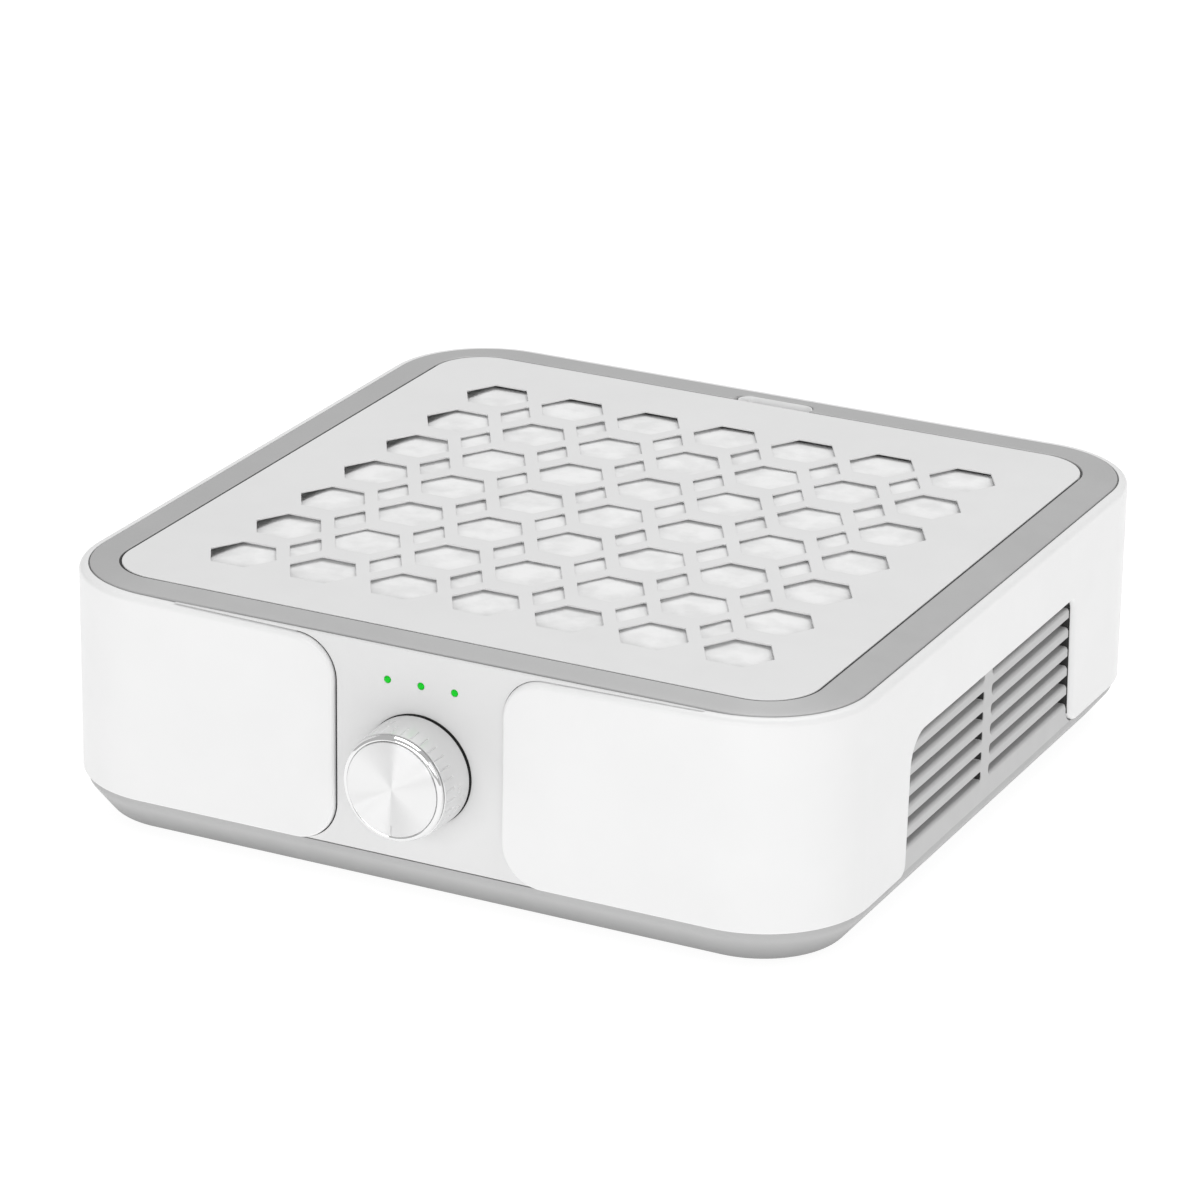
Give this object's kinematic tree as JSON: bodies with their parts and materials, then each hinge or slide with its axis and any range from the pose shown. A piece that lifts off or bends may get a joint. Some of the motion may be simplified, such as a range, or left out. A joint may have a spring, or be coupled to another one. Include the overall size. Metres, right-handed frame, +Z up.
{
  "type": "desktop nail dust collector",
  "caption": "Square white desktop dust collector with a hexagon-perforated lift-off grille, silver top ring, front speed knob, green lights and side exhaust louvres.",
  "frame": {"origin": "centre of the bounding box in plan, on the floor under the feet", "axes": "+Z up, -Y towards the control front, +X to the right seen from the front"},
  "size_m": [0.24, 0.254, 0.076],
  "materials": {
    "shell_white": "satin white moulding",
    "housing_grey": "matt light grey moulding",
    "ring_silver": "satin silver-grey, finely brushed",
    "panel_grey": "pale grey powder coat",
    "magnet_nickel": "nickel plated",
    "filter_frame_white": "matt white moulding",
    "filter_cloth": "white non-woven filter cloth",
    "foam_grey": "closed-cell foam",
    "fan_black": "glass-filled black moulding",
    "motor_zinc": "zinc plated can",
    "steel": "bright steel",
    "light_green": "lit green lens",
    "knob_chrome": "polished and plated",
    "knob_spun": "spun, with fine turning marks",
    "control_dark": "dark moulding",
    "board_green": "solder mask",
    "jack_black": "black moulding",
    "rubber_dark": "matt rubber"
  },
  "bodies": {
    "housing": {"outer_shell": "shell_white", "base_tray": "housing_grey", "front_fascia": "housing_grey", "fan_deck": "housing_grey", "top_ring": "ring_silver", "magnet_1": "magnet_nickel", "magnet_2": "magnet_nickel", "magnet_3": "magnet_nickel", "magnet_4": "magnet_nickel", "inlet_ring": "fan_black", "motor_body": "motor_zinc", "indicator_1": "light_green", "indicator_2": "light_green", "indicator_3": "light_green", "speed_control": "control_dark", "speed_nut": "steel", "control_board": "board_green", "power_jack": "jack_black", "foot_1": "rubber_dark", "foot_2": "rubber_dark", "foot_3": "rubber_dark", "foot_4": "rubber_dark", "screw_1": "steel", "screw_2": "steel", "screw_3": "steel", "screw_4": "steel"},
    "grille": {"grille_panel": "panel_grey"},
    "filter": {"filter_frame": "filter_frame_white", "filter_media": "filter_cloth", "filter_gasket": "foam_grey"},
    "knob": {"knob_body": "knob_chrome", "knob_cap": "knob_spun", "speed_spindle": "steel"},
    "fan": {"fan_wheel": "fan_black", "motor_shaft": "steel"}
  },
  "joints": [
    {"name": "grille_lift", "type": "slide", "parent": "housing", "child": "grille", "axis": [0, 0, 1], "range_m": [0, 0.06]},
    {"name": "filter_lift", "type": "slide", "parent": "housing", "child": "filter", "axis": [0, 0, 1], "range_m": [0, 0.03]},
    {"name": "knob_turn", "type": "hinge", "parent": "housing", "child": "knob", "pos_m": [0, -0.11755, 0.0405], "axis": [0, 1, 0], "range_deg": [-300, 0]},
    {"name": "fan_spin", "type": "hinge", "parent": "housing", "child": "fan", "pos_m": [0, 0.00705, 0.03], "axis": [0, 0, 1], "continuous": true}
  ],
  "couplings": [
    {"joint": "filter_lift", "follows": "grille_lift", "ratio": 0.5}
  ]
}
